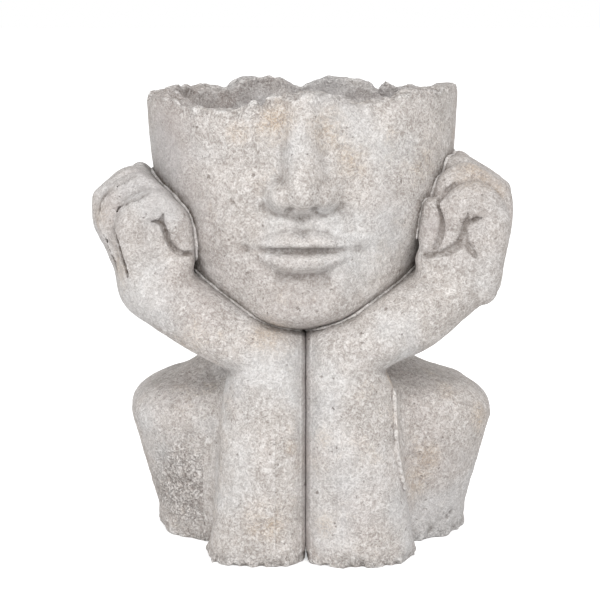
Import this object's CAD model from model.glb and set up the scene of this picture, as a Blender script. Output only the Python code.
"""Looks of the cement head planter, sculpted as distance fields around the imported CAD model.

Every casting is built again from the sizes of its CAD solid, as a field of distances on a
regular grid with softened joins, creases, chips and unevenness, and is meshed to stand for the
CAD node. Sizes are in millimetres here, and the meshes are in metres in the CAD model's frame.
"""

import math
from functools import partial

import bpy
import numpy as np
import openvdb
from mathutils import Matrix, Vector


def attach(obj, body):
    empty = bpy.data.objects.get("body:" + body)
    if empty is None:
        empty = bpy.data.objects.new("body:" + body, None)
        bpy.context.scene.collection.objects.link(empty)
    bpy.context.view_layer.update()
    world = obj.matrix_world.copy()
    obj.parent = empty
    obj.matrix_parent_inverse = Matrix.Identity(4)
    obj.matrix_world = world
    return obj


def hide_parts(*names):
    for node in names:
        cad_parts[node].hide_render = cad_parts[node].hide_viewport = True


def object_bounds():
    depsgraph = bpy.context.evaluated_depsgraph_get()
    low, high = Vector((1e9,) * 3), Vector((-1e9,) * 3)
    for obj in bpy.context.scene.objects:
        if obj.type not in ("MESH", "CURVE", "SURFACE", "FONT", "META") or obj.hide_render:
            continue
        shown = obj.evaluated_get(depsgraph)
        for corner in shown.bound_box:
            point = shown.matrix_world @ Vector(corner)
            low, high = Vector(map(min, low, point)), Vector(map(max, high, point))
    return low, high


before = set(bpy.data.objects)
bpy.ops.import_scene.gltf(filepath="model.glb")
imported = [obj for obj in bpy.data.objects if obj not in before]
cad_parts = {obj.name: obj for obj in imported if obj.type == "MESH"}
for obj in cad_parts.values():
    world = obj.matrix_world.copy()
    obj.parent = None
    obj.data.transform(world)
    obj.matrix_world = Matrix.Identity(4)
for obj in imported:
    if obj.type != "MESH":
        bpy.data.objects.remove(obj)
cad_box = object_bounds()

METRE = 0.001

# Head, as in the CAD model
head_half = 74.0
head_middle = 0.4
face_reach = 60.0
head_back_reach = 75.0
chin_height = 108.0
rim_height = 213.0
rim_swing = 5.8
head_rise = rim_height - chin_height
wall = 11.0
floor_thickness = 17.0
bowl_floor = chin_height + floor_thickness
drain_radius = 6.0
head_squareness = 2.2
chin_round = 10.0
bowl_round = 6.0
nostril_out = 5.6
nostril_place = (-68.0, 165.2)
nostril_radii = (2.7, 5.0, 2.2)
head_shares = [
    (0.00, 0.30, 0.82, 0.50), (0.05, 0.47, 0.95, 0.66),
    (0.15, 0.65, 1.01, 0.78), (0.30, 0.80, 1.00, 0.88),
    (0.48, 0.91, 1.00, 0.95), (0.70, 0.97, 0.99, 0.99),
    (0.86, 0.99, 0.98, 1.00), (1.14, 1.01, 0.96, 1.00),
]
rim_shares = [
    1.00, 0.80, -0.05, 0.40, 0.80, 0.70, 0.90, 0.90, 0.60, 0.25,
    0.00, 0.20, -0.40, 0.50, 0.70, -0.30, 0.75, 0.85, -0.40, -0.15,
    -0.15, 0.25, 0.10, -0.30, 0.30, 0.20, -0.60, -0.70, -0.80, 0.20,
]

# Face, as in the CAD model
nose_projection = 17.0
ridge_shares = [
    [(0.0, 1.143, 0.44, 0.13), (0.0, 1.0, 0.47, 0.122), (0.0, 0.876, 0.56, 0.116),
     (0.0, 0.762, 0.73, 0.119), (0.0, 0.676, 0.89, 0.124), (0.0, 0.624, 1.0, 0.127)],
    [(0.0, 1.162, 0.27, 0.27), (0.0, 0.876, 0.26, 0.257), (0.0, 0.667, 0.24, 0.257)],
    [(0.122, 0.604, 0.61, 0.1)],
    [(0.0, 0.39, 0.21, 0.284), (0.135, 0.39, 0.2, 0.27)],
    [(0.0, 0.408, 0.47, 0.058), (0.073, 0.417, 0.5, 0.059), (0.176, 0.404, 0.4, 0.054),
     (0.324, 0.379, 0.16, 0.035)],
    [(0.0, 0.324, 0.52, 0.076), (0.095, 0.327, 0.51, 0.074), (0.203, 0.341, 0.39, 0.062),
     (0.297, 0.36, 0.18, 0.038)],
    [(0.0, 0.11, 0.33, 0.203), (0.081, 0.11, 0.31, 0.189)],
    [(0.405, 0.571, 0.21, 0.189), (0.432, 0.476, 0.18, 0.176)],
]
groove_shares = [
    [(0.419, 1.038, 0.26, 0.189), (0.486, 1.057, 0.21, 0.176)],
    [(0.0, 0.519, 0.05, 0.046), (0.0, 0.462, 0.05, 0.043)],
    [(0.0, 0.526, 0.09, 0.046), (0.162, 0.539, 0.07, 0.046)],
    [(0.257, 0.543, 0.08, 0.054), (0.365, 0.438, 0.06, 0.054)],
    [(0.365, 0.371, 0.11, 0.054)],
    [(0.0, 0.369, 0.15, 0.026), (0.176, 0.37, 0.14, 0.024), (0.338, 0.374, 0.09, 0.024)],
    [(0.0, 0.234, 0.18, 0.073), (0.122, 0.238, 0.14, 0.068)],
]
ridge_power = 3.0
ridge_join_power = 4.0

# Neck and bust, as in the CAD model
neck_half = 43.0
neck_half_depth = 40.0
neck_back = 17.0
neck_roof = 124.0
neck_fillet = 9.0
neck_drop = 18.0
joint_height = chin_height - neck_drop
bed = 1.5
shoulder_half = 88.5
bust_middle = 5.3
chest_reach = 31.0
bust_back_reach = 70.0
bust_squareness = 2.8
core_wall = 13.0
core_top_wall = 12.0
core_top = joint_height - core_top_wall
core_top_share = 0.62
core_squareness = 2.5
core_round = 5.0
bust_shares = [
    (0.00, 0.825, 0.92, 0.93), (0.13, 0.855, 0.96, 0.96),
    (0.39, 0.935, 1.00, 1.00), (0.54, 0.975, 1.00, 1.00),
    (0.65, 1.00, 0.99, 0.99), (0.73, 0.968, 0.95, 0.97),
    (0.795, 0.88, 0.89, 0.94), (0.86, 0.715, 0.82, 0.90),
    (0.93, 0.59, 0.78, 0.86), (1.00, 0.515, 0.76, 0.83),
]

# Arms and hands, as in the CAD model
seam_place = 2.0
arm_front_reach = 67.0
arm_depth = 46.0
arm_half_share = 0.56
wrist_drop = 15.0
wrist_height = chin_height - wrist_drop
limb_squareness = 2.3
forearm_shares = [
    (0.00, 0.00, 1.00, 0.00), (0.30, 0.40, 0.98, 0.00),
    (0.65, 0.80, 0.97, 0.06), (1.00, 1.00, 0.96, 0.27),
]
fist_middle = 62.0
fist_rise = 37.0
fist_half_breadth = 36.3
finger_radius = 8.6
finger_pitch = 12.6
little_finger_reach = 41.5
palm_thickness = 33.0
palm_breadth = 54.0
thumb_radius = 8.0
pad_radius = 8.0
pad_inset = 4.0
finger_blend_shares = [0.0, 0.65, 1.0, 0.85]
finger_radius_shares = [0.90, 0.98, 1.0, 0.98]
finger_taper_shares = [1.05, 0.98, 1.02, 1.02, 0.98, 1.00, 0.94, 0.70]
thumb_shares = [
    (-0.20, -0.55, 1.15), (0.20, -0.15, 1.10), (0.36, 0.30, 1.00), (0.40, 0.66, 0.92),
    (0.40, 0.88, 0.55),
]
hands = {
    "left": {
        "side": -1,
        "foot": 45.5,
        "wrist": 39.0,
        "half_height": 36.5,
        "pad": (0.13, 0.22),
        "palm": [
            (0.02, 0.10, 0.36, 1.20, 0.84, 0.02), (0.29, 0.19, 0.42, 1.02, 0.84, 0.05),
            (0.64, 0.35, 0.54, 0.99, 0.88, 0.25), (1.01, 0.55, 0.59, 0.98, 0.95, 0.62),
            (1.21, 0.74, 0.49, 1.10, 1.00, 1.00), (1.36, 0.97, 0.46, 0.70, 0.80, 1.00),
        ],
        "middle": [
            (0.42, -0.43), (0.62, 0.00), (0.79, 0.38), (0.74, 0.61),
            (0.56, 0.77), (0.34, 0.81), (0.08, 0.66), (-0.12, 0.28),
        ],
        "little": [
            (0.28, -0.45), (0.38, -0.10), (0.43, 0.17), (0.41, 0.36),
            (0.28, 0.49), (0.08, 0.52), (-0.12, 0.32), (-0.20, 0.06),
        ],
    },
    "right": {
        "side": 1,
        "foot": 51.0,
        "wrist": 42.0,
        "half_height": 41.0,
        "pad": (0.44, 0.20),
        "palm": [
            (0.02, 0.10, 0.38, 1.22, 0.84, 0.02), (0.31, 0.21, 0.48, 1.01, 0.84, 0.05),
            (0.70, 0.36, 0.58, 1.00, 0.88, 0.25), (1.10, 0.59, 0.57, 0.97, 0.95, 0.62),
            (1.43, 0.83, 0.50, 1.03, 1.00, 1.00), (1.53, 1.02, 0.39, 0.66, 0.80, 1.00),
        ],
        "middle": [
            (0.65, -0.38), (0.72, -0.04), (0.79, 0.35), (0.76, 0.60),
            (0.60, 0.77), (0.42, 0.84), (0.20, 0.78), (-0.05, 0.40),
        ],
        "little": [
            (0.58, -0.44), (0.66, -0.15), (0.70, 0.14), (0.69, 0.37),
            (0.58, 0.52), (0.41, 0.56), (0.24, 0.41), (0.13, 0.15),
        ],
    },
}

# A distance that stands for anything far away
FAR = 30.0


class Grid:
    """A box of sample points, with one array of coordinates along each axis."""

    def __init__(self, axes, step):
        self.axes = axes
        self.step = step
        self.low = np.array([axis[0] for axis in axes], dtype=np.float32)
        self.high = [axis[-1] for axis in axes]
        self.shape = tuple(len(axis) for axis in axes)
        self.places = np.ix_(*axes)
        self.x, self.y, self.z = self.places

    @classmethod
    def between(cls, low, high, step):
        """The grid that covers a box at even steps."""
        counts = [int(math.ceil((b - a) / step)) + 1 for a, b in zip(low, high)]
        axes = [a + step * np.arange(n, dtype=np.float32) for a, n in zip(low, counts)]
        return cls(axes, step)

    def part(self, low, high):
        """The slices and the smaller grid that cover a box, or None where it misses the grid."""
        slices = []
        for axis, a, b in zip(self.axes, low, high):
            first = int(np.searchsorted(axis, a))
            last = int(np.searchsorted(axis, b))
            if last - first < 2:
                return None, None
            slices.append(slice(first, last))
        return tuple(slices), Grid([axis[cut] for axis, cut in zip(self.axes, slices)], self.step)

    def points(self):
        """All sample points as rows of coordinates."""
        return np.stack(np.broadcast_arrays(*self.places), axis=-1).reshape(-1, 3)


def soft_min(a, b, soft):
    """The union of two fields, filled in where they meet."""
    h = np.clip(0.5 + 0.5 * (b - a) / soft, 0.0, 1.0)
    return b * (1 - h) + a * h - soft * h * (1 - h)


def soft_max(a, b, soft):
    """What two fields share, with its edges rounded."""
    return -soft_min(-a, -b, soft)


def smooth_table(table, places):
    """A share table read at many places on a smooth curve."""
    keys = np.array([row[0] for row in table])
    values = np.array([row[1:] for row in table])
    slopes = np.gradient(values, keys, axis=0)
    places = np.clip(places, keys[0], keys[-1])
    index = np.clip(np.searchsorted(keys, places) - 1, 0, len(keys) - 2)
    span = keys[index + 1] - keys[index]
    way = (places - keys[index]) / span
    t = way[:, None]
    span = span[:, None]
    low, high = values[index], values[index + 1]
    start, end = slopes[index] * span, slopes[index + 1] * span
    cube = 2 * t ** 3 - 3 * t ** 2
    curve = (cube + 1) * low - cube * high
    curve += (t ** 3 - 2 * t ** 2 + t) * start + (t ** 3 - t ** 2) * end
    return curve.T.astype(np.float32)


def smooth_chain(points, steps):
    """Points on a smooth curve through a chain of points."""
    points = np.array(points, dtype=float)
    keys = np.arange(len(points), dtype=float)
    rows = [(key, *point) for key, point in zip(keys, points)]
    places = np.linspace(0, len(points) - 1, (len(points) - 1) * steps + 1)
    return smooth_table(rows, places).T


def radial_field(u, v, half_u, half_v, squareness):
    """Distances across a section that is rounder or squarer than an ellipse."""
    u = np.abs(u)
    v = np.abs(v)
    ratio = ((u / half_u) ** squareness + (v / half_v) ** squareness) ** (1 / squareness)
    size = np.sqrt(u * u + v * v)
    core = 0.03
    reach = np.where(ratio > core, size / np.maximum(ratio, core), np.minimum(half_u, half_v))
    return size - reach


def ellipsoid(grid, centre, radii):
    """Distances to an ellipsoid."""
    gaps = [(axis - c, r) for axis, c, r in zip(grid.places, centre, radii)]
    near = np.sqrt(sum((gap / r) ** 2 for gap, r in gaps))
    slope = np.sqrt(sum((gap / r ** 2) ** 2 for gap, r in gaps))
    return near * (near - 1) / np.maximum(slope, 0.001)


def rod(grid, start, end, start_radius, end_radius):
    """Distances to a rod with round ends, thicker at one end if asked."""
    along = [b - a for a, b in zip(start, end)]
    length = max(sum(a * a for a in along), 0.0001)
    gaps = [(axis - c, a) for axis, c, a in zip(grid.places, start, along)]
    way = np.clip(sum(gap * a for gap, a in gaps) / length, 0.0, 1.0)
    gap = np.sqrt(sum((gap - way * a) ** 2 for gap, a in gaps))
    return gap - (start_radius + way * (end_radius - start_radius))


def put(grid, field, low, high, maker, soft, carve=False):
    """Joins a form to a field, or carves it out, inside its own box only."""
    reach = 2 * soft + 3 * grid.step
    slices, small = grid.part([a - reach for a in low], [b + reach for b in high])
    if slices is None:
        return
    form = maker(small)
    if carve:
        field[slices] = soft_max(field[slices], -form, soft)
    else:
        field[slices] = soft_min(field[slices], form, soft)


def add_blob(grid, field, centre, radii, soft, carve=False):
    """An ellipsoid joined or carved."""
    low = [c - r for c, r in zip(centre, radii)]
    high = [c + r for c, r in zip(centre, radii)]
    put(grid, field, low, high, lambda small: ellipsoid(small, centre, radii), soft, carve)


def add_rod(grid, field, start, end, radii, soft, carve=False):
    """A rod joined or carved."""
    reach = max(radii)
    low = [min(a, b) - reach for a, b in zip(start, end)]
    high = [max(a, b) + reach for a, b in zip(start, end)]
    put(grid, field, low, high, lambda small: rod(small, start, end, *radii), soft, carve)


def add_chain(grid, field, points, radii, soft, carve=False):
    """A row of rods joined or carved, each with its own pair of radii."""
    for start, end, first, last in zip(points, points[1:], radii, radii[1:]):
        add_rod(grid, field, start, end, (first, last), soft, carve)


def noise(grid, cell, seed):
    """Even, smooth random values from -1 to 1, with lumps of about the size of a cell."""
    weights = []
    for axis in grid.axes:
        place = (axis - axis[0]) / cell
        index = np.floor(place).astype(int)
        way = place - index
        way = way * way * (3 - 2 * way)
        weight = np.zeros((len(axis), index[-1] + 2), dtype=np.float32)
        weight[np.arange(len(axis)), index] = 1 - way
        weight[np.arange(len(axis)), index + 1] = way
        weights.append(weight)
    counts = [weight.shape[1] for weight in weights]
    field = np.random.default_rng(seed).uniform(-1, 1, counts).astype(np.float32)
    field = np.tensordot(weights[0], field, (1, 0))
    field = np.tensordot(field, weights[1], (1, 1)).transpose(0, 2, 1)
    return np.tensordot(field, weights[2], (2, 1))


def roughness(grid, layers, seed):
    """Several sizes of noise added up; each layer is a cell size and a height."""
    total = 0
    for index, (cell, height) in enumerate(layers):
        total = total + height * noise(grid, cell, seed + index)
    return total


def even_slope(field, step):
    """A field scaled so that it rises by one for each millimetre near its surface."""
    size = np.sqrt(sum(slope ** 2 for slope in np.gradient(field, step)))
    return field / np.clip(size, 0.6, 1.6)


def read_field(grid, field, points):
    """The field's values at any points inside the grid."""
    place = (points - grid.low) / grid.step
    top = np.array(grid.shape) - 1.001
    place = np.clip(place, 0, top)
    index = place.astype(int)
    way = place - index
    total = np.zeros(len(points), dtype=np.float32)
    for corner in np.ndindex(2, 2, 2):
        offset = np.array(corner[::-1])
        share = np.prod(np.where(offset, way, 1 - way), axis=1)
        total += share * field[tuple((index + offset).T)]
    return total


def blur(field, radius):
    """The mean of a field over a small cube around each point."""
    for axis in range(3):
        count = 2 * radius + 1
        padding = [(0, 0)] * 3
        padding[axis] = (radius + 1, radius)
        total = np.cumsum(np.pad(field, padding, mode="edge"), axis=axis, dtype=np.float32)
        total = np.moveaxis(total, axis, 0)
        field = np.moveaxis((total[count:] - total[:-count]) / count, 0, axis)
    return field


def calmed(field, limit, radius):
    """A field cut off at a limit and averaged twice over small cubes."""
    return blur(blur(np.clip(field, -limit, limit), radius), radius)


def chain_height(chain, across, up):
    """The height share of a ridge or groove at places on the face."""
    best = 0.0
    for low, high in zip(chain, chain[1:] + chain[-1:]):
        run, climb = (high[0] - low[0]) * head_half, (high[1] - low[1]) * head_rise
        gap_across, gap_up = across - low[0] * head_half, up - low[1] * head_rise
        length = max(run ** 2 + climb ** 2, 0.0001)
        way = np.clip((gap_across * run + gap_up * climb) / length, 0.0, 1.0)
        gap = np.sqrt((gap_across - run * way) ** 2 + (gap_up - climb * way) ** 2)
        height, width = [a + (b - a) * way for a, b in zip(low[2:], high[2:])]
        best = np.maximum(best, height * np.exp(-(gap / (width * head_half)) ** ridge_power))
    return best


def face_relief(across, up):
    """How far the face stands out, from distances to the middle and rises above the chin."""
    ridges = sum(chain_height(chain, across, up) ** ridge_join_power for chain in ridge_shares)
    grooves = sum(chain_height(chain, across, up) for chain in groove_shares)
    return nose_projection * (ridges ** (1 / ridge_join_power) - grooves)


def head_form(grid, face):
    """The head, with or without its face, and without neck, bowl or broken rim."""
    place = (grid.axes[2] - chin_height) / head_rise
    half, front, back = smooth_table(head_shares, place)
    half = head_half * half
    front = face_reach * front
    back = head_back_reach * back
    middle = (back - front) / 2
    along = grid.y - middle
    if face:
        lift = face_relief(np.abs(grid.x - head_middle), grid.z - chin_height)
        along = along + lift * np.clip(-grid.y / 20, 0, 1)
    sides = radial_field(
        grid.x - head_middle, along.astype(np.float32), half, (back + front) / 2,
        head_squareness)
    head = soft_max(sides, chin_height - grid.z, chin_round)
    return even_slope(head, grid.step)


def with_neck(grid, head):
    """A head joined to its neck, which is a round column."""
    neck = radial_field(
        grid.x - head_middle, grid.y - neck_back, neck_half, neck_half_depth, 2.0)
    neck = soft_max(neck, grid.z - neck_roof, 2.0)
    return soft_min(head, neck, neck_fillet)


def rim_form(grid):
    """Everything above the broken rim."""
    centre_back = (head_back_reach - face_reach) / 2
    across = grid.x - head_middle
    along = centre_back - grid.y
    place = (np.arctan2(across, along) / (2 * math.pi)) % 1.0 * len(rim_shares)
    shares = np.array(rim_shares + rim_shares[:1])
    swing = np.interp(place.ravel(), np.arange(len(shares)), shares).reshape(place.shape)
    radius = np.sqrt(across ** 2 + along ** 2)
    height = rim_height + rim_swing * swing * radius / head_half
    return height.astype(np.float32) - grid.z


def bowl_form(grid, head):
    """The space inside the bowl, from the plain head's field."""
    return soft_max(head + wall, bowl_floor - grid.z, bowl_round)


def bust_form(grid):
    """The bust as a block, up to the neck joint."""
    place = grid.axes[2] / joint_height
    half, front, back = smooth_table(bust_shares, place)
    half = shoulder_half * half
    front = chest_reach * front
    back = bust_back_reach * back
    blend = np.clip(place, 0, 1) ** 4
    squareness = bust_squareness + (2 - bust_squareness) * blend
    middle = bust_middle + (head_middle - bust_middle) * blend
    sides = radial_field(
        grid.x - middle, grid.y - (back - front) / 2, half, (back + front) / 2, squareness)
    return blur(even_slope(sides, grid.step), 1)


def core_form(grid):
    """The hollow under the bust."""
    front = arm_front_reach - arm_depth - bed - core_wall
    back = bust_back_reach * bust_shares[0][3] - core_wall
    half = shoulder_half * bust_shares[0][1] - core_wall
    way = np.clip(grid.z / core_top, 0, 1)
    size = 1 - (1 - core_top_share) * way
    middle = bust_middle + (head_middle - bust_middle) * way
    sides = radial_field(
        grid.x - middle, grid.y - size * (back - front) / 2, size * half,
        size * (back + front) / 2, core_squareness)
    return soft_max(sides, grid.z - core_top, core_round)


def drain_form(grid):
    """The drain hole."""
    gap = np.sqrt((grid.x - head_middle) ** 2 + (grid.y - neck_back) ** 2)
    return gap - drain_radius


def limb_rows(hand):
    """Sections from the foot to the knuckles: place, lean and two half sizes."""
    rows = []
    for place, narrowing, reach, lean in forearm_shares:
        breadth = hand["foot"] + (hand["wrist"] - hand["foot"]) * narrowing
        half = breadth * arm_half_share
        out = seam_place * hand["side"] + breadth - half
        back = arm_depth / 2 - arm_front_reach * reach
        rows.append((out, back, wrist_height * place, lean, half, arm_depth / 2))
    wrist_out, wrist_back = rows[-1][:2]
    fist_back = finger_pitch * (len(finger_blend_shares) - 1) / 2 - little_finger_reach
    for across, up, lean, thickness, breadth, way_back in hand["palm"]:
        rows.append((
            wrist_out + (fist_middle - wrist_out) * across,
            wrist_back + (fist_back - wrist_back) * way_back,
            wrist_height + (chin_height + fist_rise - wrist_height) * up,
            lean,
            palm_thickness / 2 * thickness,
            palm_breadth / 2 * breadth,
        ))
    return rows


def limb_form(grid, hand):
    """Forearm and palm: a section that is carried along the rows."""
    rows = smooth_chain(limb_rows(hand), 3)
    field = np.full(grid.shape, FAR, dtype=np.float32)
    last = len(rows) - 2
    for index in range(last + 1):
        low, high = rows[index], rows[index + 1]
        reach = max(low[4], high[4], 20.0) + 12.0
        floor = min(low[2], high[2]) - reach
        roof = max(low[2], high[2]) + reach
        if index == 0:
            floor = -10.0
        slices, small = grid.part(
            (*grid.low[:2], floor), (grid.high[0] + 1, grid.high[1] + 1, roof))
        if slices is None:
            continue
        out = hand["side"] * small.x
        gaps = []
        for row in (low, high):
            angle = math.pi / 2 * row[3]
            gaps.append((out - row[0]) * math.sin(angle) + (small.z - row[2]) * math.cos(angle))
        before, after = gaps
        way = np.clip(before / np.maximum(before - after, 0.01), 0.0, 1.0)
        row = [a + (b - a) * way for a, b in zip(low, high)]
        angle = math.pi / 2 * row[3]
        across = (out - row[0]) * np.cos(angle) - (small.z - row[2]) * np.sin(angle)
        along = small.y - row[1]
        here = radial_field(across, along, row[4], row[5], limb_squareness)
        if index > 0:
            here = np.where(before < -0.01, FAR, here)
        if index < last:
            here = np.where(after > 0.01, FAR, here)
        else:
            here = np.maximum(here, after)
        field[slices] = np.minimum(field[slices], here)
    return calmed(field, 12, 2)


def fist_point(hand, back, across, up):
    """A place in the fist from shares of its half breadth and half height."""
    out = fist_middle + fist_half_breadth * across
    return (hand["side"] * out, back, chin_height + fist_rise + hand["half_height"] * up)


def add_fingers(grid, field, hand):
    """Four curled fingers, the pad inside their curl and the thumb."""
    for index, blend in enumerate(finger_blend_shares):
        back = finger_pitch * index - little_finger_reach
        radius = finger_radius * finger_radius_shares[index]
        rows = []
        for middle, little, share in zip(hand["middle"], hand["little"], finger_taper_shares):
            across, up = (a + (b - a) * blend for a, b in zip(little, middle))
            rows.append((*fist_point(hand, back, across, up), radius * share))
        rows = smooth_chain(rows, 3)
        finger = np.full(grid.shape, FAR, dtype=np.float32)
        add_chain(grid, finger, rows[:, :3], rows[:, 3], 0.5)
        field = soft_min(field, finger, 2.2)
    back = finger_pitch * len(finger_blend_shares) - little_finger_reach
    front = pad_inset - finger_radius - little_finger_reach
    start = fist_point(hand, front + pad_radius, *hand["pad"])
    end = fist_point(hand, back, *hand["pad"])
    add_rod(grid, field, start, end, (pad_radius, pad_radius), 2.0)
    rows = [(*fist_point(hand, back, *row[:2]), thumb_radius * row[2]) for row in thumb_shares]
    rows = smooth_chain(rows, 3)
    add_chain(grid, field, rows[:, :3], rows[:, 3], 3.0)
    return field


def front_path(grid, field, places):
    """Points on the front of a field at places given across and up."""
    path = []
    for across, up in places:
        x = np.searchsorted(grid.axes[0], across - grid.step)
        z = np.searchsorted(grid.axes[2], up - grid.step)
        values = field[x, :, z]
        inside = np.nonzero(values < 0)[0]
        if len(inside) and inside[0] > 0:
            first = int(inside[0])
            way = values[first] / (values[first] - values[first - 1])
            path.append((across, float(grid.axes[1][first] - way * grid.step), up))
    return path


# The dark bottoms of all creases: place and strength
dark_lines = []


def crease_path(grid, field, places, radii, sink):
    """Points and radii of a groove along the front of a field."""
    path = front_path(grid, field, [tuple(row) for row in smooth_chain(places, 8)])
    depths = np.pad([point[1] for point in path], 2, mode="edge")
    depths = np.convolve(depths, np.full(5, 1 / 5), mode="valid")
    path = [(x, float(y) + sink, z) for (x, _, z), y in zip(path, depths)]
    way = np.linspace(0, 1, len(path))
    sizes = np.interp(way, np.linspace(0, 1, len(radii)), radii)
    dark_lines.extend((x, y + 0.7 * size, z, min(1.0, size / 1.25))
                      for (x, y, z), size in zip(path, sizes))
    return path, list(sizes)


def add_nostrils(grid, head):
    """The two hollows under the nose."""
    for side in (-1, 1):
        centre = (head_middle + side * nostril_out, *nostril_place)
        add_blob(grid, head, centre, nostril_radii, 1.6, True)


# Rods that fill the curl of each fist: start, end and two radii
fist_fill = {
    "left": [((-72, -36, 158), (-63, -37, 153), (10.5, 9.0)),
             ((-71, -37, 150), (-57, -39, 139), (8.5, 7.5))],
    "right": [((80, -36, 160), (73, -36, 158), (10.5, 10.0)),
              ((80, -37, 150), (61, -40, 139), (9.5, 8.5)),
              ((60.5, -39, 164), (58.5, -40, 150), (4.6, 4.6))],
}
# Creases between the fingers: places across and up, and the radius at each
fist_creases = {
    "left": [
        ([(-70.3, 158.4), (-66.7, 158.6), (-63.9, 157.2), (-62.1, 153.3), (-61.0, 149.1),
          (-58.6, 145.4), (-55.4, 143.6), (-50.5, 143.0)],
         [0.6, 1.0, 1.3, 1.3, 1.3, 1.3, 1.3, 1.3]),
        ([(-63.0, 162.4), (-64.0, 159.3), (-63.6, 156.5)], [0.4, 0.8, 0.9]),
        ([(-78.1, 128.2), (-81.6, 140.4), (-84.2, 149.7), (-86.0, 155.3), (-85.5, 160.4),
          (-82.7, 164.1), (-77.1, 166.9), (-70.6, 170.6)],
         [0.7, 1.7, 1.6, 1.0, 0.9, 0.8, 0.7, 0.5]),
        ([(-83.5, 130.4), (-87.1, 140.8), (-90.6, 151.6), (-93.0, 160.5), (-92.8, 164.8),
          (-89.9, 169.0), (-83.3, 173.6), (-76.8, 177.0)],
         [0.7, 1.6, 1.6, 1.0, 0.9, 0.8, 0.7, 0.5]),
    ],
    "right": [
        ([(76.2, 163.0), (75.3, 158.9), (74.6, 155.2), (74.1, 151.0), (72.2, 147.6),
          (69.6, 145.8), (66.4, 144.2), (61.8, 143.1), (56.8, 142.7)],
         [0.4, 0.8, 1.0, 1.5, 1.5, 1.4, 1.3, 1.2, 1.2]),
        ([(75.4, 157.2), (79.0, 159.3), (82.7, 160.2)], [0.9, 0.9, 0.4]),
        ([(74.6, 149.6), (77.4, 145.8), (80.6, 141.3)], [1.2, 0.9, 0.4]),
        ([(71.0, 174.5), (67.9, 171.8), (64.7, 168.5), (62.6, 166.0), (64.2, 161.0),
          (64.4, 156.1), (63.5, 150.5), (61.5, 146.0)],
         [0.4, 0.7, 0.8, 0.9, 1.0, 1.0, 1.0, 1.0]),
    ],
}
# Flat tops of the knuckles: the lines across and up that they lie on
fist_planes = {
    "left": [((-96.4, 169.1), (-84.5, 179.5)), ((-84.5, 179.5), (-76.5, 181.0)),
             ((-76.5, 181.0), (-66.7, 173.8))],
    "right": [((70.3, 185.6), (75.9, 186.6)), ((75.9, 186.6), (96.8, 172.9))],
}


def finish_fist(grid, field, name):
    """Fills the curl of a fist and cuts its creases."""
    for start, end, radii in fist_fill[name]:
        add_rod(grid, field, start, end, radii, 5.0)
    for start, end in fist_planes[name]:
        run, climb = end[0] - start[0], end[1] - start[1]
        above = (grid.z - start[1]) * run - (grid.x - start[0]) * climb
        above = above / math.hypot(run, climb)
        field[:] = soft_max(field, above.astype(np.float32), 2.0)
    paths = [crease_path(grid, field, *rows, 0.7) for rows in fist_creases[name]]
    for path, sizes in paths:
        add_chain(grid, field, path, sizes, 0.6, True)


def inside_box(grid, field):
    """A field kept within the CAD model's box."""
    margin = 0.3
    low, high = (np.array(tuple(corner)) / METRE for corner in cad_box)
    out = np.maximum(low[0] + margin - grid.x, grid.x + margin - high[0])
    out = np.maximum(out, np.maximum(low[1] + margin - grid.y, grid.y + margin - high[1]))
    out = np.maximum(out, grid.z + margin - high[2])
    return soft_max(field, out.astype(np.float32), 1.5)


def foot_chips(grid, seed, height):
    """Crumbled lumps along a bottom edge, fading out upwards."""
    lumps = roughness(grid, foot_rough, seed)
    return (lumps - 0.2) * np.clip(1 - grid.z / height, 0, 1) ** 1.5


def seam_side(grid, hand, gap):
    """The half of the space on one hand's side of the seam."""
    return hand["side"] * (seam_place - grid.x) + gap / 2


def new_object(name, data):
    """An object that is linked to the scene."""
    made = bpy.data.objects.new(name, data)
    bpy.context.scene.collection.objects.link(made)
    return made


def mesh_piece(name, grid, field, material, marks):
    """A mesh on the zero surface of a field, with numbers for the material at every point."""
    padded = np.pad(field, 1, constant_values=3.0).astype(np.float32)
    volume = openvdb.FloatGrid(3.0)
    volume.copyFromArray(padded)
    places, quads = volume.convertToQuads(0.0)
    places = (places - 1.0) * grid.step + grid.low
    mesh = bpy.data.meshes.new(name)
    mesh.from_pydata((places * METRE).astype(np.float32), [], quads, shade_flat=False)
    mesh.validate()
    for mark, source in marks.items():
        values = source(places)
        layer = mesh.attributes.new(mark, "FLOAT", "POINT")
        layer.data.foreach_set("value", values.astype(np.float32))
    mesh.materials.append(material)
    piece = new_object(name, mesh)
    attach(piece, "root")
    return piece


def feed(tree, node, inputs):
    """Gives the inputs of a shader node their values, or links them to other nodes."""
    for key, value in inputs.items():
        if isinstance(value, bpy.types.NodeSocket):
            tree.links.new(value, node.inputs[key])
        elif isinstance(value, tuple):
            node.inputs[key].default_value = (*value, 1.0)
        else:
            node.inputs[key].default_value = value
    return node


def add_node(tree, kind, inputs, **settings):
    """A new shader node with its settings and inputs."""
    node = tree.nodes.new("ShaderNode" + kind)
    for name, value in settings.items():
        setattr(node, name, value)
    return feed(tree, node, inputs)


# The colour sockets of a mix node: what is below, what is laid over it, and the result
mix_below, mix_above, mix_result = 6, 7, 2


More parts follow.
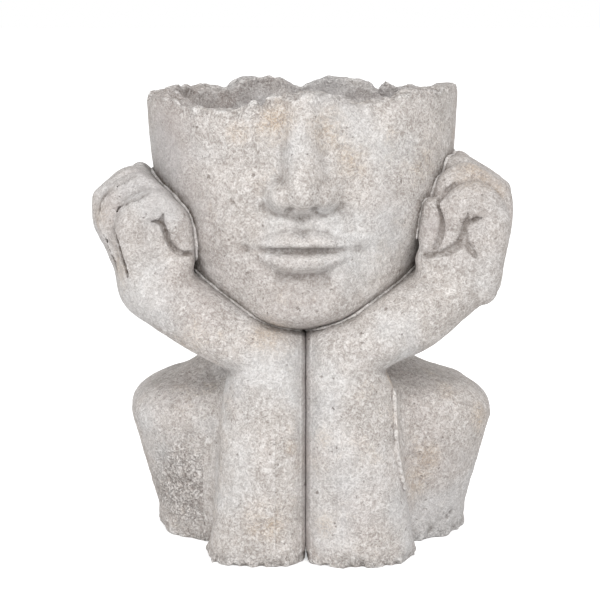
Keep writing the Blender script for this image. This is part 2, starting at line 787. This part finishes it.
def cement_material(name, tone, stain_share):
    """Dry cast cement: sandy mottling, ochre stains, grime in hollows and small pits."""
    material = bpy.data.materials.new(name)
    material.use_nodes = True
    tree = material.node_tree
    make = partial(add_node, tree)
    place = make("TexCoord", {}).outputs["Object"]

    def lumps(scale, detail, roughness=0.6, swirl=0.0):
        return make("TexNoise", {
            "Vector": place, "Scale": scale, "Detail": detail, "Roughness": roughness,
            "Distortion": swirl}).outputs["Fac"]

    def between(value, low, high, out_low=0.0, out_high=1.0):
        return make("MapRange", {
            "Value": value, "From Min": low, "From Max": high, "To Min": out_low,
            "To Max": out_high}).outputs["Result"]

    def combine(kind, a, b):
        return make("Math", {0: a, 1: b}, operation=kind).outputs[0]

    def times(a, b):
        return combine("MULTIPLY", a, b)

    def mark(name):
        return make("Attribute", {}, attribute_name=name).outputs["Fac"]

    def curls(scale, swirl, thin, wide, share):
        level = combine("SUBTRACT", lumps(scale, 2.0, 0.5, swirl), 0.5)
        return between(combine("ABSOLUTE", level, 0.0), thin, wide, share, 0.0)

    sand = lumps(1050.0, 2.5, 0.65, 1.1)
    brushed = lumps(430.0, 3.0, 0.6, 1.6)
    blotches = lumps(55.0, 5.0, 0.65)
    patches = between(lumps(34.0, 6.0, 0.7), 0.57, 0.72, 0.0, stain_share)
    placed = times(mark("stain"), between(lumps(85.0, 5.0, 0.7), 0.32, 0.54))
    hollow = times(mark("crumble"), between(lumps(820.0, 2.0, 0.5), 0.50, 0.60))
    specks = between(lumps(300.0, 2.0), 0.68, 0.74, 0.0, 0.6)
    colour = tuple(c * 0.84 for c in tone)
    layers = {
        "light": (between(blotches, 0.38, 0.60), tuple(min(1.0, c * 1.10) for c in tone)),
        "chalk": (between(lumps(120.0, 4.0, 0.7, 1.0), 0.46, 0.66, 0.0, 0.45),
                  (0.80, 0.775, 0.76)),
        "mauve": (between(lumps(15.0, 3.0), 0.50, 0.68, 0.0, 0.6),
                  (tone[0] * 0.86, tone[1] * 0.81, tone[2] * 0.81)),
        "ochre": (times(patches, between(brushed, 0.40, 0.58)), (0.56, 0.43, 0.29)),
        "inside": (times(mark("inner"), between(blotches, 0.30, 0.60, 0.95, 0.55)),
                   (0.36, 0.31, 0.29)),
        "rust": (times(placed, between(brushed, 0.36, 0.56, 0.3, 1.0)), (0.47, 0.35, 0.235)),
        "dark sand": (between(sand, 0.36, 0.56, 0.54, 0.0), (0.19, 0.165, 0.15)),
        "brown sand": (between(brushed, 0.36, 0.50, 0.40, 0.0), (0.23, 0.20, 0.18)),
        "white sand": (between(brushed, 0.52, 0.66, 0.0, 0.42), (0.88, 0.86, 0.84)),
        "cool grey": (between(lumps(22.0, 2.0), 0.48, 0.64, 0.0, 0.35), (0.60, 0.62, 0.64)),
        "dark curls": (curls(300.0, 2.4, 0.012, 0.05, 0.30), (0.26, 0.23, 0.21)),
        "pale curls": (curls(260.0, 2.0, 0.012, 0.06, 0.30), (0.86, 0.84, 0.82)),
        "pits": (times(hollow, 0.5), (0.17, 0.145, 0.13)),
        "shade": (times(mark("shade"), between(blotches, 0.30, 0.60, 0.5, 1.0)),
                  (0.34, 0.30, 0.29)),
        "worn": (times(mark("edge"), between(brushed, 0.35, 0.55)), (0.82, 0.80, 0.78)),
        "soil": (times(mark("grime"), between(lumps(420.0, 4.0, 0.7), 0.36, 0.56, 0.42, 1.0)),
                 (0.105, 0.084, 0.069)),
        "specks": (specks, (0.17, 0.14, 0.12)),
    }
    for share, paint in layers.values():
        mix = make("Mix", {0: share, mix_below: colour, mix_above: paint}, data_type="RGBA")
        colour = mix.outputs[mix_result]

    rough = combine("ADD", times(sand, 0.6), times(brushed, 0.9))
    rough = combine("ADD", rough, times(specks, -1.0))
    rough = combine("ADD", rough, times(hollow, -1.4))
    bump = make("Bump", {"Height": rough, "Strength": 0.8, "Distance": 0.0009})
    feed(tree, tree.nodes["Principled BSDF"], {
        "Base Color": colour, "Roughness": 0.92, "Specular IOR Level": 0.2,
        "Normal": bump.outputs["Normal"]})
    return material


cement = cement_material("cement", (0.50, 0.459, 0.430), 0.6)
pale_cement = cement_material("pale_cement", (0.52, 0.476, 0.447), 0.6)
mortar = cement_material("mortar", (0.64, 0.595, 0.565), 0.2)

# Steps of the sample grids
step = 1.0
arm_step = 0.85
world_step = 2.0

# Layers of unevenness: size of the lumps and their height
hand_rough = [(34.0, 0.7), (13.0, 0.45), (5.0, 0.16), (2.6, 0.08)]
bust_rough = [(34.0, 1.2), (13.0, 0.9), (5.0, 0.35), (2.6, 0.15)]
rim_rough = [(13.0, 1.5), (7.0, 2.3), (4.0, 1.6), (2.5, 0.6)]
rim_side_rough = [(6.0, 1.5), (3.2, 0.7)]
bowl_rough = [(20.0, 0.8), (7.0, 0.8), (3.5, 0.5)]
pit_rough = [(4.2, 0.6), (2.6, 0.6)]
foot_rough = [(12.0, 1.8), (6.0, 2.4), (3.2, 1.8)]
mortar_rough = [(14.0, 0.5), (4.0, 0.35)]
seeds = {
    "head": 11, "rim": 31, "rim_side": 41, "bowl": 51, "bust": 150, "bust_foot": 170, "pits": 180,
    "left_arm": 70, "left_foot": 120, "left_chips": 240,
    "right_arm": 90, "right_foot": 130, "right_chips": 250,
    "seam": 160, "mortar": 200,
}

# Head
rim_fade_share = 0.12
rim_swell = 0.5
head_grid = Grid.between((-78, -80, 88), (80, 79, 222), step)
head = head_form(head_grid, True)
add_nostrils(head_grid, head)
head = with_neck(head_grid, head)
head = head + roughness(head_grid, hand_rough, seeds["head"])
plain_rim = rim_form(head_grid)
rim = plain_rim + roughness(head_grid, rim_rough, seeds["rim"])
near_rim = np.clip(1 - rim_fade_share * plain_rim, 0, 1) ** 2
rim_side = rim_swell + roughness(head_grid, rim_side_rough, seeds["rim_side"])
head = head + near_rim * rim_side
bowl = bowl_form(head_grid, head_form(head_grid, False))
bowl = bowl + roughness(head_grid, bowl_rough, seeds["bowl"])
head = soft_max(head, -bowl, 1.6)
head = soft_max(head, -rim, 0.5)
head = np.maximum(head, -drain_form(head_grid))
head = np.maximum(head, joint_height + bed - head_grid.z)
head = inside_box(head_grid, head)

# Arms
arm_boxes = {
    "left": ((-103, -72, -4), (7, 24, 192)),
    "right": ((-3, -72, -4), (103, 24, 192)),
}
foot_chip_height = 11.0
seam_gap = 0.1
seam_round = 8.2
seam_lump = 14.0
flare_round = 2.5
flare_height = 88.0
flare_rise = 18.0
web_depth = 1.5
web_height = 5.0
notch = ((seam_place, -70, -1), (seam_place, -68, 7), (3.4, 0.6))
chip_count = 8
chip_span = (6, 45)
chip_height = 2.2
cheek_gap = 0.15


def chip_foot(grid, arm, name, side):
    """Breaks small chips out of the front edge of a forearm's foot."""
    chips = np.random.default_rng(seeds[f"{name}_chips"])
    first, last = (seam_place + side * out for out in chip_span)
    for x in np.linspace(first, last, chip_count):
        place = front_path(grid, arm, [(float(x + chips.uniform(-2.5, 2.5)), chip_height)])
        breadth = float(chips.uniform(0.8, 2.2))
        height = float(chips.uniform(1.0, 3.4))
        for point in place:
            centre = (point[0], point[1], float(chips.uniform(-0.8, 0.8)))
            add_blob(grid, arm, centre, (breadth, 1.2 * breadth, height), 0.4, True)


def arm_form(name, hand):
    """One forearm with its hand: the grid, its field, and the field of the head on that grid."""
    grid = Grid.between(*arm_boxes[name], arm_step)
    limb = add_fingers(grid, limb_form(grid, hand), hand)
    finish_fist(grid, limb, name)
    limb = limb + roughness(grid, hand_rough, seeds[f"{name}_arm"])
    limb = limb + foot_chips(grid, seeds[f"{name}_foot"], foot_chip_height)
    other = with_neck(grid, head_form(grid, True))
    cut = seam_side(grid, hand, seam_gap)
    flare = flare_round * np.clip((grid.z - flare_height) / flare_rise, 0, 1)
    arm = soft_max(limb, cut, seam_round + noise(grid, seam_lump, seeds["seam"]) + flare)
    web = np.maximum(limb + web_depth, cut)
    web = np.maximum(web, web_height - grid.z)
    arm = soft_min(arm, web, 0.9)
    add_rod(grid, arm, *notch, 0.7, True)
    chip_foot(grid, arm, name, hand["side"])
    arm = soft_max(arm, cheek_gap - other, 1.0)
    arm = soft_max(arm, -grid.z, 0.6)
    return grid, inside_box(grid, arm), other


arms = {name: arm_form(name, hand) for name, hand in hands.items()}

# Bust
bust_chip_height = 14.0
seat_seam_gap = 0.5
seat_gap = 0.7
pit_middle = (-58, 27)
pit_reach = (15, 24)
pit_depth = 15
corner_chips = [(71.0, 9.5), (73.0, 11.5)]
corner_chip_radii = (1.6, 3.0, 1.8)
bust_grid = Grid.between((-93, -40, -4), (98, 75, 94), step)
bust = bust_form(bust_grid)
bust = bust + roughness(bust_grid, bust_rough, seeds["bust"])
bust = bust + foot_chips(bust_grid, seeds["bust_foot"], bust_chip_height)
bust = soft_max(bust, bust_grid.z - joint_height, 1.5)
bust_block = bust
bust = np.maximum(bust, -core_form(bust_grid))
bust = np.maximum(bust, -drain_form(bust_grid))
for hand in hands.values():
    limb = limb_form(bust_grid, hand)
    limb = soft_max(limb, seam_side(bust_grid, hand, seat_seam_gap), 1.0)
    bust = soft_max(bust, seat_gap - limb, 1.0)


def pitted(x, y, z):
    """How crumbly the bust is on its left at the front."""
    across = (x - pit_middle[0]) / pit_reach[0]
    up = (z - pit_middle[1]) / pit_reach[1]
    share = np.clip(1.4 - np.sqrt(across ** 2 + up ** 2), 0, 1)
    return share * np.clip(1 - y / pit_depth, 0, 1)


pits = roughness(bust_grid, pit_rough, seeds["pits"])
bust = bust + pitted(bust_grid.x, bust_grid.y, bust_grid.z) * pits
for point in front_path(bust_grid, bust, corner_chips):
    add_blob(bust_grid, bust, point, corner_chip_radii, 0.6, True)
bust = np.maximum(bust, -bust_grid.z)
bust = inside_box(bust_grid, bust)

# Where the hollows are, for grime
world_grid = Grid.between((-110, -90, -6), (110, 90, 232), world_step)
world = np.full(world_grid.shape, FAR, dtype=np.float32)
whole = [(head_grid, head), (bust_grid, bust)] + [pair[:2] for pair in arms.values()]
for grid, field in whole:
    slices, small = world_grid.part(grid.low, grid.high)
    values = read_field(grid, calmed(field, 9, 1), small.points()).reshape(small.shape)
    world[slices] = np.minimum(world[slices], values)
near = calmed(world, 4, 1)
wide = calmed(world, 9, 3)

# Stains on the surface: place and size
stain_places = [
    (-14, -64, 205, 11), (14, -66, 202, 11), (24, -62, 188, 9), (-30, -58, 200, 7),
    (80, -40, 181, 11), (88, -36, 168, 8), (-92, -30, 158, 9), (-82, -38, 136, 8),
    (-14, -60, 106, 10), (-2, -66, 66, 5), (-3, -66, 56, 5), (9, -66, 60, 6), (10, -66, 20, 7),
    (40, -42, 84, 10), (38, -44, 70, 8), (26, -60, 8, 6), (-16, -66, 22, 10),
    (57, -30, 30, 10), (62, -28, 42, 8), (74, -14, 78, 10), (88, -8, 58, 8), (-70, -20, 76, 5),
]
# Darker areas of the surface: place, size and strength
shade_places = [
    (-62, -30, 196, 26, 0.44), (-52, -46, 166, 24, 0.34), (61, -48, 156, 9, 0.55),
    (72, -44, 140, 10, 0.20), (30, -60, 96, 12, 0.14), (-34, -62, 84, 14, 0.16),
    (76, -24, 40, 16, 0.24), (-82, -34, 156, 26, 0.36), (84, -34, 160, 26, 0.42),
    (0, -62, 124, 26, 0.36), (-38, -54, 140, 26, 0.16), (-50, -50, 112, 20, 0.16),
    (4, -62, 190, 7, -0.2),
]
# The marks of the seam stay in front of this
seam_front = -20.0


def beside_seam(places, out, width):
    """One on the lines at a distance from the seam on the front, fading out over a width."""
    across = np.abs(places[:, 0] - seam_place)
    return np.exp(-((across - out) / width) ** 2) * (places[:, 1] < seam_front)


def square_gap(places, point):
    """The squares of the distances to a point."""
    return ((places - point) ** 2).sum(axis=1)


def no_mark(places):
    """Nothing of a mark anywhere."""
    return np.zeros(len(places), dtype=np.float32)


def marks_for(grid, field, neighbours=(), inner_field=None, crumbly=no_mark, seam=False,
              pale_line=()):
    """What the material reads: grime, worn edges, stains, shade, crumbling and the inside."""
    fine = calmed(field, 3, 1)

    def grime(places):
        close = read_field(grid, fine, places)
        around = read_field(world_grid, near, places)
        far = read_field(world_grid, wide, places)
        value = np.clip(-close * 1.5 - 0.14, 0, 1) * 0.7
        value += np.clip(-around * 0.85 - 0.16, 0, 1) * 0.8
        value += np.clip(-far * 0.10 - 0.08, 0, 0.3)
        value = np.minimum(value, 0.5)
        if seam:
            value *= 1 - 0.75 * beside_seam(places, 0.0, 4.0)
        for other_grid, other, halo in neighbours:
            gap = np.maximum(read_field(other_grid, other, places) - 0.3, 0)
            high = 0.3 + 0.7 * np.clip((places[:, 2] - 118) / 25, 0, 1)
            value += halo * high * (0.55 * np.exp(-gap / 1.0) + 0.30 * np.exp(-gap / 4.5))
        front = places[:, 1] < 0
        for *point, strength in dark_lines:
            gap = square_gap(places[front], np.float32(point))
            value[front] = np.maximum(value[front], 1.15 * strength * np.exp(-gap / 1.5))
        return np.clip(value, 0, 0.95)

    def edge(places):
        value = read_field(grid, fine, places) * 1.6 - 0.35
        if seam:
            value += 0.8 * beside_seam(places, 2.4, 0.6)
        for point in pale_line:
            gap = square_gap(places, np.float32(point))
            value = np.maximum(value, 0.8 * np.exp(-gap / 1.4))
        return np.clip(value, 0, 0.8)

    def stain(places):
        value = no_mark(places)
        for *point, size in stain_places:
            gap = np.sqrt(square_gap(places, point))
            value = np.maximum(value, np.clip(1.25 - gap / size, 0, 1))
        return value

    def shade(places):
        value = no_mark(places)
        for *point, size, share in shade_places:
            value += share * np.exp(-square_gap(places, point) / (0.5 * size * size))
        if seam:
            value += 0.55 * beside_seam(places, 0.0, 2.4)
        return np.clip(value, 0, 0.7)

    def crumble(places):
        return np.clip(crumbly(places), 0, 1)

    def inner(places):
        if inner_field is None:
            return no_mark(places)
        return np.clip(1.4 - np.abs(read_field(grid, inner_field, places)) / 1.6, 0, 1)

    return {"grime": grime, "edge": edge, "stain": stain, "inner": inner,
            "crumble": crumble, "shade": shade}


def rim_crumble(places):
    """How crumbly the head is near its rim."""
    return 0.6 * read_field(head_grid, near_rim, places)


def foot_crumble(places):
    """How crumbly a casting is near the ground."""
    return 0.7 * (1 - places[:, 2] / 9)


def bust_crumble(places):
    """How crumbly the bust is on its left and near the ground."""
    return np.maximum(foot_crumble(places), pitted(*places.T))


# Raised lines where a forearm's skim ends: places across and up
joint_lines = {
    "left": [(-39.4, 60.0), (-41.2, 47.0), (-43.4, 33.0), (-46.0, 12.0)],
    "right": [(42.6, 81.0), (43.2, 68.0), (44.0, 54.0), (46.0, 42.0), (48.4, 32.0)],
}
head_halo = {"left": 1.0, "right": 0.5}
arm_halo = 0.45
bead_radius = 1.05
bead_foot = 100.0
line_radius = 1.15
line_end_radius = 0.4
skim_fillet = 15.0
skim_reach = 10.5
skim_sink = 0.15
skim_root = 1.2
skim_rise = 6.0
skim_top = 86.0
skim_foot = 0.3
skim_inner = 12.0
arm_pairs = [(grid, arm, head_halo[name]) for name, (grid, arm, other) in arms.items()]
marks = marks_for(head_grid, head, arm_pairs, bowl, rim_crumble)
piece = mesh_piece("head_casting", head_grid, head, cement, marks)
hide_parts("head_bowl")
marks = marks_for(bust_grid, bust, crumbly=bust_crumble)
piece = mesh_piece("bust_casting", bust_grid, bust, pale_cement, marks)
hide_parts("bust")
for name, (grid, arm, other) in arms.items():
    marks = marks_for(grid, arm, [(grid, other, arm_halo)], crumbly=foot_crumble, seam=True)
    piece = mesh_piece(f"{name}_arm_casting", grid, arm, cement, marks)
    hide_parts(f"{name}_arm")
    bead = np.sqrt(np.square(arm - cheek_gap) + np.square(other - 0.4)) - bead_radius
    bead = bead + roughness(grid, mortar_rough, seeds["mortar"])
    bead = inside_box(grid, np.maximum(bead, bead_foot - grid.z))
    piece = mesh_piece(f"{name}_cheek_mortar", grid, bead, mortar, marks_for(grid, bead))
    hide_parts(f"{name}_cheek_mortar_bed")

    slices, small = grid.part((grid.low[0], -72, -4), (grid.high[0], grid.high[1], 92))
    chest = read_field(bust_grid, bust_block, small.points()).reshape(small.shape)
    limb = arm[slices]
    nearest = np.minimum(limb, chest)
    skim = soft_min(limb, chest, skim_fillet) + skim_sink
    line = [tuple(row) for row in smooth_chain(joint_lines[name], 5)]
    line = front_path(small, np.minimum(skim, limb), line)
    radii = [line_end_radius] + [line_radius] * (len(line) - 2) + [line_end_radius]
    skim = np.maximum(skim, np.maximum(limb, chest) - skim_reach)
    add_chain(small, skim, line, radii, 0.4)
    skim = np.maximum(skim, -skim_root - nearest)
    inner = (seam_place + skim_inner) - hands[name]["side"] * (small.x - seam_place)
    skim = np.maximum(np.maximum(skim, small.z - skim_top), np.maximum(skim_foot - small.z, inner))
    skim = inside_box(small, np.maximum(skim, nearest - skim_rise))
    marks = marks_for(small, skim, crumbly=foot_crumble, pale_line=line)
    piece = mesh_piece(f"{name}_chest_mortar", small, skim, pale_cement, marks)
    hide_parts(f"{name}_chest_mortar_bed")

for name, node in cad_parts.items():
    if name.endswith("mortar_bed"):
        node.data.materials.clear()
        node.data.materials.append(mortar)

# Stage
WHITE = (1.0, 1.0, 1.0)
floor_grey = (0.86, 0.86, 0.86)
floor_glow = 0.5
light_strength = 0.86


def seen_directly(tree):
    """One for rays of the camera and of mirrors, and zero for all others."""
    rays = add_node(tree, "LightPath", {}).outputs
    return add_node(tree, "Math", {0: rays["Is Camera Ray"], 1: rays["Is Glossy Ray"]},
                    operation="MAXIMUM").outputs[0]


stage_material = bpy.data.materials.new("paper")
stage_material.use_nodes = True
tree = stage_material.node_tree
paper = feed(tree, tree.nodes["Principled BSDF"], {
    "Base Color": floor_grey, "Roughness": 1.0, "Specular IOR Level": 0.0})
level = add_node(tree, "Math", {0: seen_directly(tree), 1: floor_glow}, operation="MULTIPLY")
glow = add_node(tree, "Emission", {"Color": WHITE, "Strength": level.outputs[0]})
both = add_node(tree, "AddShader", {0: paper.outputs[0], 1: glow.outputs[0]})
feed(tree, tree.nodes["Material Output"], {"Surface": both.outputs[0]})

floor_half = 6.0
floor_mesh = bpy.data.meshes.new("floor")
corners = [(x * floor_half, y * floor_half, 0) for x, y in ((-1, -1), (1, -1), (1, 1), (-1, 1))]
floor_mesh.from_pydata(corners, [], [(0, 1, 2, 3)])
floor_mesh.materials.append(stage_material)
floor = new_object("floor", floor_mesh)

world_light = bpy.data.worlds.new("studio")
bpy.context.scene.world = world_light
world_light.use_nodes = True
tree = world_light.node_tree
soft_light = feed(tree, tree.nodes["Background"], {"Color": WHITE, "Strength": light_strength})
seen_light = add_node(tree, "Background", {"Color": WHITE, "Strength": 1.0})
choice = add_node(tree, "MixShader", {
    0: seen_directly(tree), 1: soft_light.outputs[0], 2: seen_light.outputs[0]})
feed(tree, tree.nodes["World Output"], {"Surface": choice.outputs[0]})


def look_along(thing, direction):
    """Turns a lamp or camera to look in a direction."""
    thing.rotation_euler = direction.to_track_quat("-Z", "Y").to_euler()


def area_light(name, place, target, size, power):
    """A soft square lamp that points at a target."""
    lamp = bpy.data.lights.new(name, "AREA")
    lamp.size = size
    lamp.energy = power
    holder = new_object(name, lamp)
    holder.location = place
    look_along(holder, Vector(target) - Vector(place))


area_light("top_front", place=(0.12, -1.05, 0.80), target=(0, 0, 0.11), size=0.6, power=8.6)
area_light("side", place=(-0.9, -0.7, 0.30), target=(0, 0, 0.07), size=0.5, power=1.8)

# Camera, as the photograph was taken
camera_reach = 1.040
camera_rise = math.radians(9.5)
camera_target = Vector((-0.0007, 0.0, 0.114))
camera = bpy.data.cameras.new("camera")
camera.sensor_width = 36.0
camera.lens = 129.3
viewer = new_object("camera", camera)
back = Vector((0.0, -math.cos(camera_rise), math.sin(camera_rise)))
viewer.location = camera_target + back * camera_reach
look_along(viewer, -back)
bpy.context.scene.camera = viewer

bpy.context.scene.view_settings.view_transform = "Standard"
